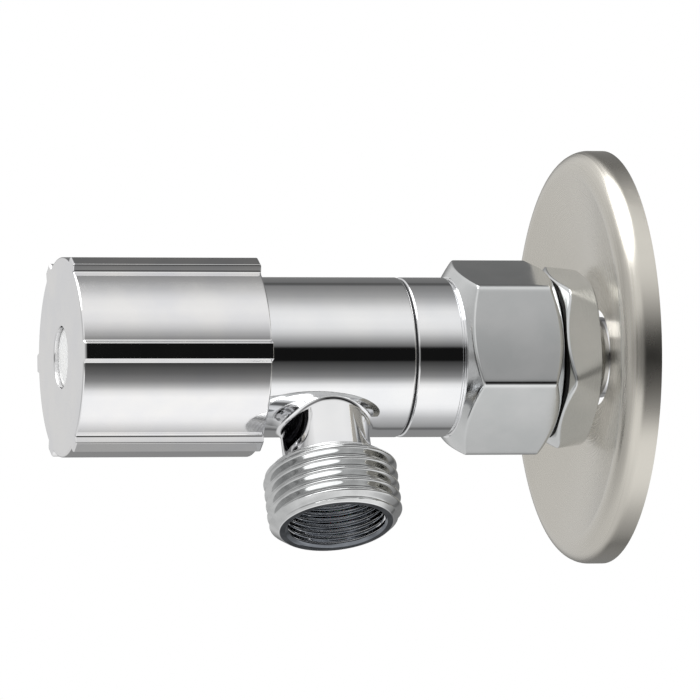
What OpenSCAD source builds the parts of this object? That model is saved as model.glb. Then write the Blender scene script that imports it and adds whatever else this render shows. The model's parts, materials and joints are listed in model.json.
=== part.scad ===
// Quarter-turn angle stop valve with a swivel inlet, a compression nut and a wall flange.
// Origin: centre of the wall plane, on the valve axis. +X goes into the wall, -X towards the
// handle, and the outlet points down, along -Z. Sizes are in millimetres.

/* [Wall flange] */
// Outside diameter of the wall flange
flange_d = 65; // [56:0.5:80]
// How far the flange stands out from the wall
flange_depth = 5.5; // [4.5:0.1:8]
// Thickness of the flange's sheet metal
flange_sheet = 0.6; // [0.5:0.1:1.2]
// Radius of the rolled shoulder, on the outside
flange_shoulder = 3.2; // [2:0.1:4]
// Gap behind the dished centre, to the wall plane
flange_centre_gap = 0.1; // [0.1:0.05:0.6]
// Radial gap between the tube and the flange's hole
flange_hole_gap = 1.2; // [0.3:0.05:1.5]

/* [Inlet tube] */
// Outside diameter of the inlet tube
tube_d = 12.7; // [10:0.1:16]
// Wall of the inlet tube
tube_wall = 0.9; // [0.7:0.1:1.2]
// Length of tube behind the wall plane
tube_stub = 6; // [4:0.5:7]
// Width of the rolled groove that marks the wall plane on the tube
tube_mark_w = 0.6; // [0.6:0.1:1]
// Depth of that groove
tube_mark_depth = 0.25; // [0.2:0.05:0.3]

/* [Compression joint] */
// Distance from the wall plane to the gland nut
gland_standoff = 3.8; // [3.5:0.1:8]
// Length of the gland nut's hexagon
gland_hex_len = 5.75; // [5.4:0.05:9]
// Gap that shows between the two hexagons
hex_gap = 0.25; // [0.15:0.05:1]
// Radial wall of the gland nut's threaded shank
gland_shank_wall = 3.25; // [2.5:0.05:4.5]
// Length of the threaded shank
gland_shank_len = 6.3; // [5:0.1:9]
// How far the gland nut's flats stand out from its shank
gland_rise = 3.15; // [2.8:0.05:4]
// How far outside the flats the gland nut's wall-side chamfer starts
gland_chamfer_out = 0.9; // [0.5:0.05:1.1]
// Length of the gland nut's wall-side chamfer
gland_chamfer_len = 4.3; // [3:0.1:4.5]
// How far outside the flats the gland nut's two chamfers meet
gland_ridge_out = 1.75; // [1.3:0.05:1.85]
// Thickness of the slip ring between the nut and the olive
slip_ring_h = 0.8; // [0.5:0.1:1.2]
// Length of the olive
olive_len = 3.6; // [2.8:0.1:5]
// Radial thickness of the olive at its middle
olive_wall = 1.7; // [1.2:0.1:2]
// Length of the tube socket beyond the olive
socket_len = 3.5; // [2:0.1:6]

/* [Inlet connector] */
// Length of the connector's hexagon
connector_hex_len = 15.5; // [13.5:0.1:20]
// How far the connector's flats stand out from the barrel
hex_rise = 1.25; // [0.8:0.05:2]
// Length of the round collar, up to the parting line
collar_len = 7.85; // [5:0.05:12]
// Width of the relief groove between the collar and the hexagon
relief_w = 0.35; // [0.2:0.05:0.6]
// Length of the spigot that the body swivels on
spigot_len = 6.3; // [6.1:0.1:9]
// Wall of the body around the spigot
spigot_cover = 2.55; // [2.2:0.05:3]

/* [Valve body] */
// Distance from the parting line to the outlet's axis
outlet_offset = 13.1; // [11.5:0.1:17]
// Width of the parting groove that holds the swivel washer
parting_gap = 0.3; // [0.2:0.05:0.6]
// Web between the swivel socket and the cartridge chamber
seat_web = 1.5; // [1.2:0.1:3]
// Body wall around the bonnet's thread
body_wall = 2.5; // [2.2:0.05:4]
// Length of barrel that the handle's skirt covers
barrel_cover = 6.2; // [5:0.1:9]

/* [Outlet] */
// Diameter over the outlet's outside thread, G 1/2
outlet_thread_d = 20.955; // [18:0.005:25]
// Diameter of the outlet's fine inside thread, at its crests
outlet_bore_d = 14.95; // [12:0.05:15.2]
// Diameter of the outlet's neck
neck_d = 13.8; // [12.8:0.1:17]
// Diameter of the waterway through the neck
neck_bore_d = 9; // [7:0.1:9.8]
// Distance from the valve axis to the outlet's face
outlet_reach = 29.2; // [28.2:0.1:36]
// Length of the threaded collar
outlet_collar_len = 10.2; // [7.5:0.1:11]
// Diameter of the flat ring at the outlet's face
outlet_face_d = 17.8; // [17:0.1:19]

/* [Cartridge] */
// Diameter of the spindle's shaft
spindle_d = 10; // [8:0.1:12.5]
// Width of the spindle's thrust flange
spindle_flange_w = 1.8; // [1.2:0.1:2.5]
// Thickness of each ceramic disc
disc_h = 2.8; // [2:0.1:4]
// Thickness of the base seal
base_seal_h = 1.6; // [1:0.1:2.5]
// Wall of the cage that holds the discs
cage_wall = 1.1; // [0.8:0.05:1.5]
// Height of the cage's side windows
window_h = 4.2; // [3:0.1:6]
// Thickness of the spindle's drive blade
blade_w = 2.6; // [2:0.1:3.2]
// Angle of each disc's water window
disc_window_angle = 80; // [50:1:84]
// Distance across the bonnet's flats
bonnet_af = 20; // [18:0.5:22]
// Height of the bonnet's hexagon
bonnet_hex_h = 5.5; // [4:0.1:7]
// Height of the bonnet's nose, under the stop crown
bonnet_nose_h = 3; // [2:0.1:5]
// Height of the stop crown
crown_h = 3; // [2.6:0.1:4]
// How far the handle turns, in degrees
quarter_turn = 90; // [60:5:110]
// Number of splines on the spindle
spline_count = 20; // [12:2:24]

/* [Handle] */
// Length of the handle
handle_len = 29.9; // [27.5:0.1:38]
// Wall of the handle's skirt, between the ribs
handle_wall = 2.5; // [2:0.1:4]
// Radial gap between the skirt and the barrel
skirt_gap = 0.5; // [0.3:0.05:1.2]
// Gap between the outlet's neck and the skirt
lip_gap = 3.9; // [3.3:0.1:8]
// Thickness of the handle's end wall
handle_end_wall = 5.2; // [5:0.1:8]
// Number of grip ribs
rib_count = 6; // [4:1:8]
// Height of a rib
rib_h = 1.15; // [0.6:0.05:2]
// Width of a rib at its top
rib_top_w = 2.35; // [1.5:0.05:3]
// Width of a rib at its foot
rib_foot_w = 3.1; // [3:0.1:4]
// Chamfer on the handle's ends
handle_chamfer = 0.5; // [0.2:0.05:0.8]
// Diameter of the button in the handle's end
button_d = 9.4; // [8.6:0.1:11]
// Depth of the button's recess
recess_depth = 3.8; // [3.6:0.1:5]

/* [Clearances] */
// Radial gap of a running fit
running_gap = 0.05; // [0.02:0.01:0.1]
// Gap between pieces that seat on each other
seat_gap = 0.05; // [0.02:0.01:0.1]
// Radial gap around a piece that is put in loosely
loose_gap = 0.25; // [0.15:0.05:0.4]
// Chamfer on small turned edges
edge_chamfer = 0.25; // [0.1:0.05:0.4]

/* [Hidden] */
$fn = 96;
eps = 0.01;
past = 1;

// Turns of the hexagons and the ribs about the axis, counted from the top towards +Y
hex_facet_turn = 18;
rib_turn = 7;

// Radii, from the spindle outwards
spindle_r = spindle_d / 2;
spindle_bore_r = spindle_r + running_gap;
spindle_flange_r = spindle_r + spindle_flange_w;
free_gap = 0.1;
flange_room_r = spindle_flange_r + 2 * free_gap;
bonnet_tail_wall = 0.55;
bonnet_tail_r = flange_room_r + bonnet_tail_wall;
cage_in_r = bonnet_tail_r + seat_gap;
cage_r = cage_in_r + cage_wall;
disc_r = cage_in_r - free_gap;
lug_in_r = disc_r - 0.65;
lug_w = 2;
chamber_r = cage_r + 3 * free_gap;
thread_step = 1;
bonnet_bore_r = chamber_r + thread_step;
bonnet_thread_r = bonnet_bore_r - seat_gap;
barrel_r = bonnet_bore_r + body_wall;
swivel_bore_r = barrel_r - spigot_cover;
spigot_r = swivel_bore_r - running_gap;

// Radii of the compression joint, from the tube outwards
tube_r = tube_d / 2;
waterway_r = tube_r - tube_wall;
gland_bore_r = tube_r + loose_gap;
gland_shank_r = gland_bore_r + gland_shank_wall;
gland_socket_r = gland_shank_r + free_gap;
gland_flat_r = gland_shank_r + gland_rise;
connector_flat_r = barrel_r + hex_rise;
tube_socket_r = tube_r + free_gap;
olive_r = tube_r + olive_wall;
olive_seat_r = olive_r + seat_gap;
olive_seat_len = olive_len / 2 + 0.8;
olive_seat_taper = (olive_seat_r - tube_socket_r) / olive_seat_len;
olive_tip_r = olive_r - olive_seat_taper * olive_len / 2;

// Places along the axis, as distances from the wall plane
gland_front = gland_standoff + gland_hex_len;
connector_start = gland_front + hex_gap;
shank_end = gland_front + gland_shank_len;
slip_ring_start = shank_end + seat_gap;
olive_start = slip_ring_start + slip_ring_h + seat_gap;
olive_end = olive_start + olive_len;
tube_end = olive_end + socket_len;
collar_start = connector_start + connector_hex_len;
parting = collar_start + collar_len;
spigot_end = parting + spigot_len;
body_start = parting + parting_gap;
outlet_axis = body_start + outlet_offset;
swivel_floor = spigot_end + free_gap;
chamber_floor = swivel_floor + seat_web;
seal_top = chamber_floor + base_seal_h;
fixed_disc_start = seal_top + seat_gap;
moving_disc_start = fixed_disc_start + disc_h + seat_gap;
moving_disc_end = moving_disc_start + disc_h;
window_margin = 0.5;
window_start = moving_disc_end + window_margin;
window_end = window_start + window_h;
bonnet_tail_start = window_end + window_margin;
bonnet_tail_h = 1.1;
chamber_top = bonnet_tail_start + bonnet_tail_h;
thread_start = chamber_top + 0.5;
cage_end = thread_start - free_gap;
lip = outlet_axis + neck_d / 2 + lip_gap;
barrel_end = lip + barrel_cover;
spindle_flange_start = bonnet_tail_start + 0.3;
spindle_flange_h = 1.6;
thrust_start = spindle_flange_start + spindle_flange_h + seat_gap;
thrust_h = 0.7;
flange_room_end = thrust_start + thrust_h + seat_gap;
bonnet_hex_end = barrel_end + bonnet_hex_h;
nose_end = bonnet_hex_end + bonnet_nose_h;
crown_end = nose_end + crown_h;
clip_start = nose_end + free_gap;
clip_h = 0.7;
clip_groove_h = clip_h + free_gap;
shaft_end = clip_start + clip_groove_h + 0.5;
stop_washer_start = shaft_end + seat_gap;
stop_washer_h = 1.2;
handle_face = lip + handle_len;
recess_floor = handle_face - recess_depth;
screw_web = 2.2;
socket_end = recess_floor - screw_web;
spindle_end = socket_end - 2 * free_gap;
hub_start = crown_end + 3 * free_gap;
cavity_end = handle_face - handle_end_wall;

// Round seals: radius of the section, width and depth of the grooves
ring_gap = 0.02;
swivel_ring_r = 0.6;
swivel_groove_w = 1.5;
swivel_groove_depth = 1.2;
swivel_ring_places = [spigot_end - 1.05, spigot_end - 2.85];
wire_r = 0.5;
wire_groove_w = 1.1;
wire_groove_depth = 0.6;
wire_place = parting + 1.55;
spindle_ring_r = 0.56;
spindle_groove_w = 1.5;
spindle_groove_depth = 1.1;
spindle_ring_places = [flange_room_end + 3, flange_room_end + 6.5];
bonnet_ring_r = 0.7;
bonnet_groove_w = 1.6;
bonnet_ring_place = barrel_end - bonnet_groove_w / 2;
bonnet_seal_step = 0.6;
bonnet_groove_r = bonnet_bore_r + bonnet_seal_step - 2 * bonnet_ring_r - free_gap;

// Splined end, stop and fastenings
spline_r = spindle_r - 1;
spline_depth = 0.45;
spline_gap = 0.06;
hub_wall = 3;
hub_r = spline_r + hub_wall;
clip_depth = 0.45;
clip_rim = 1.6;
crown_r = spindle_r + 4;
crown_wall = 2.1;
tab_angle = 30;
tab_rest = 135;
tab_slack = 1;
screw_r = 1.95;
screw_tap_r = 2;
screw_hole_r = 2.2;
screw_head_r = 3.6;
screw_head_h = 1.8;
screw_len = 9.5;
button_r = button_d / 2;
recess_r = button_r + free_gap;
button_h = 0.9;
button_dome = 0.6;

// Lays the upright drawing down, so that upwards in it goes towards the handle
module lay() {
    rotate([0, -90, 0]) children();
}

// Puts a drawing on the outlet's axis, so that upwards in it goes down, out of the outlet
module on_outlet() {
    translate([0, 0, outlet_axis]) rotate([0, -90, 0]) children();
}

function arc(centre_r, centre_z, r, from, to, steps = 8) = [
    for (i = [0:steps])
        let (a = from + (to - from) * i / steps)
            [centre_r + r * cos(a), centre_z + r * sin(a)]
];

module ring(inside, outside, from, to) {
    translate([0, 0, from]) difference() {
        cylinder(r = outside, h = to - from);
        translate([0, 0, -past]) cylinder(r = inside, h = to - from + 2 * past);
    }
}

module bore(r, from, to) {
    translate([0, 0, from]) cylinder(r = r, h = to - from);
}

module o_ring(middle_r, section_r, place) {
    translate([0, 0, place]) rotate_extrude() translate([middle_r, 0]) circle(r = section_r, $fn = 32);
}

module hexagon(flat_r, from, to) {
    rotate([0, 0, hex_facet_turn - 30])
        translate([0, 0, from]) cylinder(r = flat_r / cos(30), h = to - from, $fn = 6);
}

// Hexagon whose ends are turned to cones, from a circle at each end to the corners
module chamfered_hexagon(flat_r, from, to, from_r, from_len, to_r, to_len) {
    corner_r = flat_r / cos(30);
    from_slope = from_len / (corner_r - from_r);
    to_slope = to_len / (corner_r - to_r);
    over = 0.2;
    intersection() {
        hexagon(flat_r, from, to);
        rotate_extrude() polygon([
            [0, from],
            [from_r, from],
            [corner_r + over, from + from_len + over * from_slope],
            [corner_r + over, to - to_len - over * to_slope],
            [to_r, to],
            [0, to]
        ]);
    }
}

module wedge(r, angle, middle) {
    rotate([0, 0, middle - angle / 2])
        polygon([[0, 0], [2 * r, 0], [2 * r * cos(angle / 2), 2 * r * sin(angle / 2)],
                 [2 * r * cos(angle), 2 * r * sin(angle)]]);
}

module spline_outline(tip_r) {
    polygon([
        for (i = [0:spline_count - 1], j = [0:3])
            let (step = 360 / spline_count)
                let (r = (j == 0 || j == 3) ? tip_r - spline_depth : tip_r)
                    r * [cos(step * (i + j / 4)), sin(step * (i + j / 4))]
    ]);
}

// Thin dished sheet with a rolled shoulder; its edge rests on the wall
module wall_flange() {
    edge_r = flange_d / 2;
    hole_r = tube_r + flange_hole_gap;
    roll_r = edge_r - flange_shoulder;
    roll_z = flange_depth - flange_shoulder;
    // the dish's outer face is the tangent from the hole's edge to the rolled shoulder
    hole_z = flange_centre_gap + flange_sheet;
    reach = norm([roll_r - hole_r, roll_z - hole_z]);
    slope = atan2(roll_z - hole_z, roll_r - hole_r) + asin(flange_shoulder / reach);
    color([0.74, 0.72, 0.68]) lay() rotate_extrude() polygon(concat(
        [[edge_r, 0]],
        arc(roll_r, roll_z, flange_shoulder, 0, 90 + slope),
        [[hole_r, hole_z], [hole_r, hole_z - flange_sheet / cos(slope)]],
        arc(roll_r, roll_z, flange_shoulder - flange_sheet, 90 + slope, 0),
        [[edge_r - flange_sheet, 0]]
    ));
}

// Plain tube from behind the wall into the connector's socket
module inlet_tube() {
    mark_inset = 0.2;
    color([0.82, 0.83, 0.84]) lay() difference() {
        ring(waterway_r, tube_r, -tube_stub, tube_end - seat_gap);
        ring(tube_r - tube_mark_depth, tube_r + past, -tube_mark_w - mark_inset, -mark_inset);
    }
}

// Barrel-shaped brass ring that the gland nut squeezes on to the tube
module olive() {
    heel_chamfer = 0.4;
    color([0.78, 0.62, 0.34]) lay() rotate_extrude() polygon([
        [tube_r + seat_gap, olive_start],
        [olive_r - heel_chamfer, olive_start],
        [olive_r, olive_start + heel_chamfer],
        [olive_r, olive_end - olive_len / 2],
        [olive_tip_r, olive_end],
        [tube_r + seat_gap, olive_end]
    ]);
}

// Loose ring between the gland nut and the olive
module slip_ring() {
    color([0.9, 0.9, 0.86]) lay()
        ring(gland_bore_r, olive_r, slip_ring_start, slip_ring_start + slip_ring_h);
}

// Hexagon with a long chamfer towards the wall, and a shank that screws into the connector
module gland_nut() {
    front_chamfer_in = 0.2;
    color([0.8, 0.81, 0.82]) lay() difference() {
        union() {
            intersection() {
                hexagon(gland_flat_r, gland_standoff, gland_front);
                rotate_extrude() polygon([
                    [0, gland_standoff],
                    [gland_flat_r + gland_chamfer_out, gland_standoff],
                    [gland_flat_r + gland_ridge_out, gland_standoff + gland_chamfer_len],
                    [gland_flat_r - front_chamfer_in, gland_front],
                    [0, gland_front]
                ]);
            }
            rotate_extrude() polygon([
                [0, gland_front - past],
                [gland_shank_r, gland_front - past],
                [gland_shank_r, shank_end - 2 * edge_chamfer],
                [gland_shank_r - 2 * edge_chamfer, shank_end],
                [0, shank_end]
            ]);
        }
        bore(gland_bore_r, gland_standoff - past, shank_end + past);
    }
}

// One brass piece: hexagon with the gland's socket, round collar, and the swivel spigot
module inlet_connector() {
    back_chamfer = 1.8;
    back_chamfer_in = 0.3;
    front_chamfer = 2.1;
    front_step = 0.1;
    relief_start = collar_start + edge_chamfer;
    land_r = barrel_r - 0.15;
    relief_r = land_r - 0.3;
    spigot_chamfer = 0.3;
    seat_start = olive_start + olive_len / 2;
    color([0.8, 0.81, 0.82]) lay() difference() {
        union() {
            chamfered_hexagon(connector_flat_r, connector_start, collar_start,
                              connector_flat_r - back_chamfer_in, back_chamfer,
                              barrel_r + front_step, front_chamfer);
            rotate_extrude() polygon([
                [0, collar_start - past],
                [land_r, collar_start - past],
                [land_r, relief_start],
                [relief_r, relief_start],
                [relief_r, relief_start + relief_w],
                [barrel_r - edge_chamfer, relief_start + relief_w],
                [barrel_r, relief_start + relief_w + edge_chamfer],
                [barrel_r, parting - edge_chamfer],
                [barrel_r - edge_chamfer, parting],
                [spigot_r, parting],
                [spigot_r, spigot_end - spigot_chamfer],
                [spigot_r - spigot_chamfer, spigot_end],
                [0, spigot_end]
            ]);
        }
        bore(gland_socket_r, connector_start - past, seat_start);
        // the olive's seat narrows to the tube's socket
        translate([0, 0, seat_start])
            cylinder(r1 = olive_seat_r, r2 = tube_socket_r, h = olive_seat_len);
        bore(tube_socket_r, olive_end, tube_end);
        bore(waterway_r, tube_end - eps, spigot_end + past);
        for (place = swivel_ring_places)
            ring(spigot_r - swivel_groove_depth, spigot_r + past,
                 place - swivel_groove_w / 2, place + swivel_groove_w / 2);
        ring(spigot_r - wire_groove_depth, spigot_r + past,
             wire_place - wire_groove_w / 2, wire_place + wire_groove_w / 2);
    }
}

module connector_o_rings() {
    middle_r = swivel_bore_r - ring_gap - swivel_ring_r;
    color([0.12, 0.12, 0.13]) lay()
        for (place = swivel_ring_places) o_ring(middle_r, swivel_ring_r, place);
}

// Spring wire that locks the spigot in the body but lets it turn
module swivel_wire() {
    color([0.7, 0.71, 0.72]) lay() o_ring(swivel_bore_r, wire_r, wire_place);
}

// Thin washer in the parting groove, between the collar and the body
module swivel_washer() {
    inset = 0.35;
    color([0.16, 0.16, 0.17]) lay()
        ring(swivel_bore_r + free_gap, barrel_r - inset, parting + ring_gap, body_start - ring_gap);
}

// Barrel with the swivel socket at one end and the cartridge chamber at the other
module valve_body() {
    thread_r = outlet_thread_d / 2;
    face_r = outlet_face_d / 2;
    outlet_bore_r = outlet_bore_d / 2;
    neck_r = neck_d / 2;
    neck_bore_r = neck_bore_d / 2;
    collar_top = outlet_reach - outlet_collar_len;
    shoulder_r = thread_r - 1.2;
    thread_top = collar_top + 1;
    seat_start = collar_top - 1.8;
    seat_end = collar_top + 0.8;
    lead_len = (thread_r - face_r) * 0.85;
    color([0.8, 0.81, 0.82]) lay() difference() {
        union() {
            rotate_extrude() polygon([
                [0, body_start],
                [barrel_r - 2 * edge_chamfer, body_start],
                [barrel_r, body_start + 2 * edge_chamfer],
                [barrel_r, barrel_end - edge_chamfer],
                [barrel_r - edge_chamfer, barrel_end],
                [0, barrel_end]
            ]);
            on_outlet() rotate_extrude() polygon([
                [0, 0],
                [neck_r, 0],
                [neck_r, collar_top - 2 * edge_chamfer],
                [shoulder_r, collar_top],
                [shoulder_r, collar_top + edge_chamfer],
                [thread_r, thread_top],
                [thread_r, outlet_reach - lead_len],
                [face_r, outlet_reach],
                [0, outlet_reach]
            ]);
        }
        bore(swivel_bore_r, body_start - past, swivel_floor);
        ring(swivel_bore_r - eps, swivel_bore_r + wire_groove_depth,
             wire_place - wire_groove_w / 2, wire_place + wire_groove_w / 2);
        bore(waterway_r, swivel_floor - past, chamber_floor + past);
        bore(chamber_r, chamber_floor, chamber_top + past);
        bore(bonnet_bore_r, chamber_top, barrel_end + past);
        bore(bonnet_bore_r + bonnet_seal_step, barrel_end - bonnet_groove_w, barrel_end + past);
        on_outlet() {
            cylinder(r = neck_bore_r, h = outlet_reach);
            translate([0, 0, seat_start])
                cylinder(r1 = neck_bore_r, r2 = outlet_bore_r, h = seat_end - seat_start);
            translate([0, 0, seat_end])
                cylinder(r = outlet_bore_r, h = outlet_collar_len);
            translate([0, 0, outlet_reach - 2 * edge_chamfer])
                cylinder(r1 = outlet_bore_r, r2 = outlet_bore_r + 4 * edge_chamfer,
                         h = 4 * edge_chamfer);
        }
    }
}

// Rubber washer under the fixed disc
module base_seal() {
    color([0.12, 0.12, 0.13]) lay()
        ring(waterway_r + free_gap, disc_r, chamber_floor + ring_gap, seal_top);
}

// Outline of a disc's two water windows
module disc_windows(middle) {
    inner_r = 1.8;
    outer_r = disc_r - 1.5;
    difference() {
        intersection() {
            circle(r = outer_r);
            for (side = [0, 180]) wedge(disc_r, disc_window_angle, middle + side);
        }
        circle(r = inner_r);
    }
}

// Pair of lugs on the cage's inside that keep the fixed disc from turning
module lugs(grow, from, to) {
    root_r = cage_in_r + 0.3;
    for (side = [0, 180])
        rotate([0, 0, side]) translate([-lug_w / 2 - grow, lug_in_r - grow, from])
            cube([lug_w + 2 * grow, root_r - lug_in_r + grow, to - from]);
}

module fixed_disc() {
    color([0.93, 0.93, 0.9]) lay() translate([0, 0, fixed_disc_start]) difference() {
        linear_extrude(height = disc_h) difference() {
            circle(r = disc_r);
            disc_windows(0);
        }
        lugs(seat_gap, -past, disc_h + past);
    }
}

module moving_disc() {
    slot_depth = disc_h / 2;
    color([0.93, 0.93, 0.9]) lay() translate([0, 0, moving_disc_start]) difference() {
        linear_extrude(height = disc_h) difference() {
            circle(r = disc_r);
            disc_windows(90);
        }
        translate([-spindle_r - free_gap, -blade_w / 2 - free_gap, disc_h - slot_depth])
            cube([spindle_d + 2 * free_gap, blade_w + 2 * free_gap, slot_depth + past]);
    }
}

// Sleeve that holds the discs; its windows let the water out to the chamber
module disc_cage() {
    window_w = 1.25 * cage_in_r;
    foot_gap = 0.5;
    color([0.86, 0.86, 0.82]) lay() {
        difference() {
            ring(cage_in_r, cage_r, chamber_floor + foot_gap, cage_end);
            translate([-cage_r - past, -window_w / 2, window_start])
                cube([2 * cage_r + 2 * past, window_w, window_h]);
        }
        lugs(0, fixed_disc_start + seat_gap, fixed_disc_start + disc_h - seat_gap);
    }
}

module thrust_washer() {
    color([0.9, 0.9, 0.86]) lay()
        ring(spindle_r + free_gap, spindle_flange_r, thrust_start, thrust_start + thrust_h);
}

// Splined end for the handle, shaft with seal grooves, thrust flange, and the drive blade
module spindle() {
    slot_depth = disc_h / 2;
    blade_start = moving_disc_end - slot_depth + free_gap;
    color([0.78, 0.62, 0.34]) lay() difference() {
        union() {
            intersection() {
                translate([-spindle_r, -blade_w / 2, blade_start])
                    cube([spindle_d, blade_w, spindle_flange_start - blade_start + eps]);
                bore(spindle_r, blade_start - past, spindle_flange_start + past);
            }
            bore(spindle_flange_r, spindle_flange_start, spindle_flange_start + spindle_flange_h);
            bore(spindle_r, spindle_flange_start, shaft_end);
            translate([0, 0, shaft_end - eps])
                linear_extrude(height = spindle_end - shaft_end + eps) spline_outline(spline_r);
        }
        for (place = spindle_ring_places)
            ring(spindle_r - spindle_groove_depth, spindle_r + past,
                 place - spindle_groove_w / 2, place + spindle_groove_w / 2);
        ring(spindle_r - clip_depth, spindle_r + past, clip_start, clip_start + clip_groove_h);
        bore(screw_tap_r, spindle_end - screw_len, spindle_end + past);
    }
}

module spindle_o_rings() {
    middle_r = spindle_bore_r - ring_gap - spindle_ring_r;
    color([0.12, 0.12, 0.13]) lay()
        for (place = spindle_ring_places) o_ring(middle_r, spindle_ring_r, place);
}

// Screws into the barrel; the crown on its nose stops the handle at each end of its turn
module bonnet() {
    crown_open = quarter_turn + tab_angle + 2 * tab_slack;
    crown_open_middle = tab_rest + quarter_turn / 2;
    corner_cut = 1.2;
    color([0.78, 0.62, 0.34]) lay() difference() {
        union() {
            bore(bonnet_tail_r, bonnet_tail_start, thread_start + eps);
            bore(bonnet_thread_r, thread_start, barrel_end + eps);
            intersection() {
                rotate([0, 0, 30]) translate([0, 0, barrel_end])
                    cylinder(r = bonnet_af / 2 / cos(30), h = bonnet_hex_h, $fn = 6);
                bore(bonnet_af / 2 + corner_cut, barrel_end - past, bonnet_hex_end + past);
            }
            bore(crown_r, bonnet_hex_end - eps, nose_end);
            difference() {
                ring(crown_r - crown_wall, crown_r, nose_end - eps, crown_end);
                translate([0, 0, nose_end])
                    linear_extrude(height = crown_h + past)
                        wedge(crown_r, crown_open, crown_open_middle);
            }
        }
        bore(flange_room_r, bonnet_tail_start - past, flange_room_end);
        bore(spindle_bore_r, flange_room_end - eps, nose_end + past);
        ring(bonnet_groove_r, bonnet_thread_r + past, barrel_end - bonnet_groove_w, barrel_end);
    }
}

module bonnet_o_ring() {
    color([0.12, 0.12, 0.13]) lay()
        o_ring(bonnet_groove_r + free_gap / 2 + bonnet_ring_r, bonnet_ring_r, bonnet_ring_place);
}

// Open retaining ring in the spindle's groove
module spindle_clip() {
    in_r = spindle_r - clip_depth + ring_gap;
    gap_angle = 50;
    color([0.55, 0.56, 0.58]) lay() translate([0, 0, clip_start + free_gap / 2])
        linear_extrude(height = clip_h) difference() {
            circle(r = in_r + clip_rim);
            circle(r = in_r);
            wedge(in_r + clip_rim, gap_angle, 0);
        }
}

// Splined washer; its tab meets the ends of the crown
module stop_washer() {
    rim_r = crown_r - crown_wall - 4 * free_gap;
    tab_r = crown_r - 0.5;
    color([0.55, 0.56, 0.58]) lay() translate([0, 0, stop_washer_start])
        linear_extrude(height = stop_washer_h) difference() {
            union() {
                circle(r = rim_r);
                intersection() {
                    circle(r = tab_r);
                    wedge(crown_r, tab_angle, tab_rest);
                }
            }
            spline_outline(spline_r + spline_gap);
        }
}

// Ribbed knob: hollow skirt over the barrel, splined hub, and a recess for screw and button
module handle() {
    skirt_in_r = barrel_r + skirt_gap;
    core_r = skirt_in_r + handle_wall;
    rib_r = core_r + rib_h;
    foot_r = core_r - 0.1;
    root_r = core_r - handle_wall / 2;
    mouth_wall = 1.3;
    mouth_depth = 3;
    color([0.84, 0.85, 0.86]) lay() difference() {
        union() {
            rotate_extrude() polygon([
                [0, lip],
                [core_r - edge_chamfer, lip],
                [core_r, lip + edge_chamfer],
                [core_r, handle_face - edge_chamfer],
                [core_r - edge_chamfer, handle_face],
                [0, handle_face]
            ]);
            intersection() {
                for (i = [0:rib_count - 1]) rotate([0, 0, rib_turn + i * 360 / rib_count])
                    translate([0, 0, lip]) linear_extrude(height = handle_len) polygon([
                        [root_r, -rib_foot_w / 2],
                        [foot_r, -rib_foot_w / 2],
                        [rib_r, -rib_top_w / 2],
                        [rib_r, rib_top_w / 2],
                        [foot_r, rib_foot_w / 2],
                        [root_r, rib_foot_w / 2]
                    ]);
                rotate_extrude() polygon([
                    [0, lip],
                    [rib_r + past - handle_chamfer, lip],
                    [rib_r + past, lip + handle_chamfer + past],
                    [rib_r + past, handle_face - handle_chamfer - past],
                    [rib_r - handle_chamfer, handle_face],
                    [0, handle_face]
                ]);
            }
        }
        ring(hub_r, skirt_in_r, hub_start, cavity_end);
        bore(skirt_in_r, lip - past, hub_start + eps);
        bore(core_r - mouth_wall, lip - past, lip + mouth_depth);
        translate([0, 0, hub_start - past])
            linear_extrude(height = socket_end - hub_start + past)
                spline_outline(spline_r + spline_gap);
        bore(screw_hole_r, socket_end - past, recess_floor + past);
        bore(recess_r, recess_floor, handle_face + past);
    }
}

// Pan-head screw with a cross recess
module handle_screw() {
    head_start = recess_floor + ring_gap;
    head_end = head_start + screw_head_h;
    head_round = 0.9;
    tip_room = 1.5;
    cross_depth = 1.1;
    cross_w = 0.9;
    color([0.62, 0.63, 0.65]) lay() difference() {
        union() {
            bore(screw_r, spindle_end - screw_len + tip_room, head_start + eps);
            rotate_extrude() polygon(concat(
                [[0, head_start], [screw_head_r, head_start]],
                arc(screw_head_r - head_round, head_end - head_round, head_round, 0, 90, 5),
                [[0, head_end]]
            ));
        }
        for (turn = [0, 90]) rotate([0, 0, turn])
            translate([-screw_r, -cross_w / 2, head_end - cross_depth])
                cube([2 * screw_r, cross_w, cross_depth + past]);
    }
}

// Domed button that closes the recess over the screw
module handle_button() {
    start = recess_floor + screw_head_h + 2 * free_gap;
    side_end = start + button_h;
    dome_r = (button_r * button_r + button_dome * button_dome) / (2 * button_dome);
    dome_angle = asin(button_r / dome_r);
    color([0.92, 0.92, 0.92]) lay() rotate_extrude() polygon(concat(
        [[0, start], [button_r, start]],
        arc(0, side_end + button_dome - dome_r, dome_r, 90 - dome_angle, 90, 8)
    ));
}

wall_flange();
inlet_tube();
olive();
slip_ring();
gland_nut();
inlet_connector();
connector_o_rings();
swivel_wire();
swivel_washer();
valve_body();
base_seal();
fixed_disc();
moving_disc();
disc_cage();
thrust_washer();
spindle();
spindle_o_rings();
bonnet();
bonnet_o_ring();
spindle_clip();
stop_washer();
handle();
handle_screw();
handle_button();
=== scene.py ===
import json
import math
import bmesh
import bpy
import numpy as np
from mathutils import Matrix, Vector


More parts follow.
